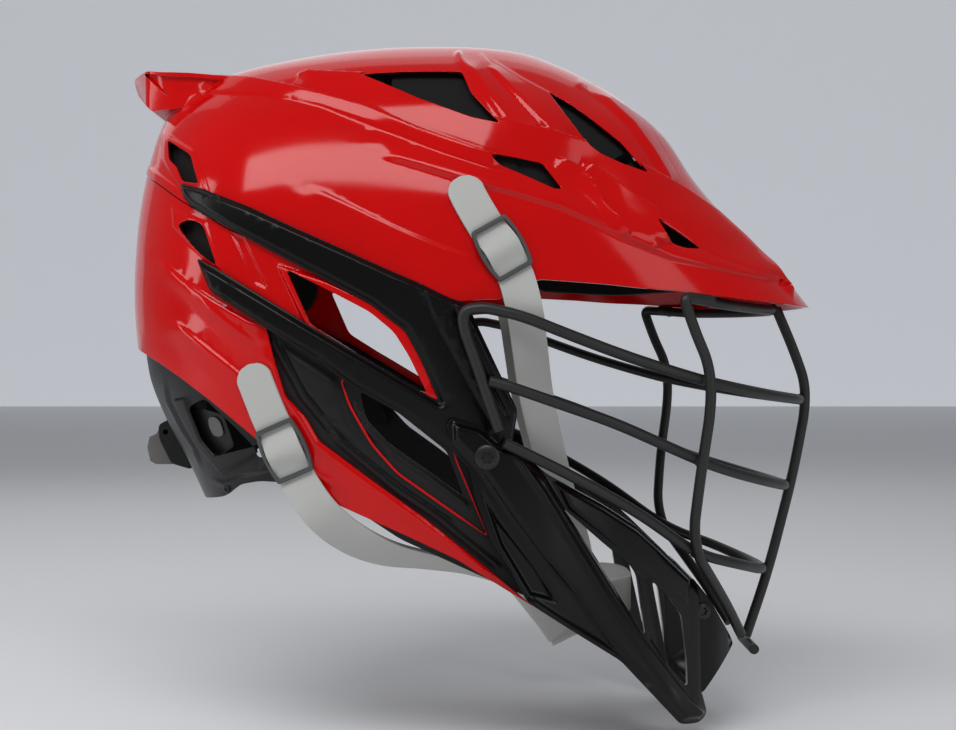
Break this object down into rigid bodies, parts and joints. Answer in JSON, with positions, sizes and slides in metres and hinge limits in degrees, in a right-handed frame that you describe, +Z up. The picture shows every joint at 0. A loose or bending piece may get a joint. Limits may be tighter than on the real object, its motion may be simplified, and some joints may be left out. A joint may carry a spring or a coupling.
{
  "type": "lacrosse helmet",
  "caption": "Vented gloss helmet with visor, forked side frames, truss chin guard, wire cage, webbing and a sliding fit yoke.",
  "frame": {"origin": "midway between the wearer's ears, in the middle plane", "axes": "+X forward, +Y to the wearer's left, +Z up"},
  "size_m": [0.3375, 0.2262, 0.3257],
  "materials": {
    "shell_gloss": "high gloss",
    "trim_gloss": "gloss",
    "frame_satin": "satin",
    "chin_gloss": "gloss",
    "guard_satin": "satin",
    "cage_coat": "satin coat",
    "webbing": "woven, matt",
    "buckle": "satin",
    "yoke_satin": "satin",
    "lever_light": "satin",
    "pin_steel": "brushed",
    "bolt_dark": "satin",
    "foam": "matt"
  },
  "bodies": {
    "helmet": {"brow_pad": "foam", "cage_bar_1": "cage_coat", "cage_bar_2": "cage_coat", "cage_bar_3": "cage_coat", "cage_centre_bar": "cage_coat", "cage_clamp": "frame_satin", "cage_screws": "bolt_dark", "cage_top_bar": "cage_coat", "cage_upright_left": "cage_coat", "cage_upright_right": "cage_coat", "chin_guard": "chin_gloss", "chin_guard_bolts": "bolt_dark", "chin_strap": "webbing", "crown_liner": "foam", "crown_shell": "shell_gloss", "ear_guard_left": "guard_satin", "ear_guard_right": "guard_satin", "ear_pad_left": "foam", "ear_pad_right": "foam", "ear_trim_left": "trim_gloss", "ear_trim_right": "trim_gloss", "frame_screws": "bolt_dark", "front_buckle_left": "buckle", "front_buckle_right": "buckle", "front_strap_left": "webbing", "front_strap_right": "webbing", "rear_buckle_left": "buckle", "rear_buckle_right": "buckle", "rear_liner": "foam", "rear_shell": "shell_gloss", "rear_strap_left": "webbing", "rear_strap_right": "webbing", "side_frame_left": "frame_satin", "side_frame_right": "frame_satin"},
    "yoke": {"fit_carrier": "yoke_satin", "lever_pin": "pin_steel", "nape_pads": "foam", "carrier_rivets": "pin_steel"},
    "lever": {"fit_lever": "lever_light"}
  },
  "joints": [
    {"name": "fit_slide", "type": "slide", "parent": "helmet", "child": "yoke", "axis": [1, 0, 0], "range_m": [0, 0.012]},
    {"name": "fit_lever", "type": "hinge", "parent": "yoke", "child": "lever", "pos_m": [-0.114, 0, -0.0405], "axis": [0, 1, 0], "range_deg": [0, 100]}
  ]
}
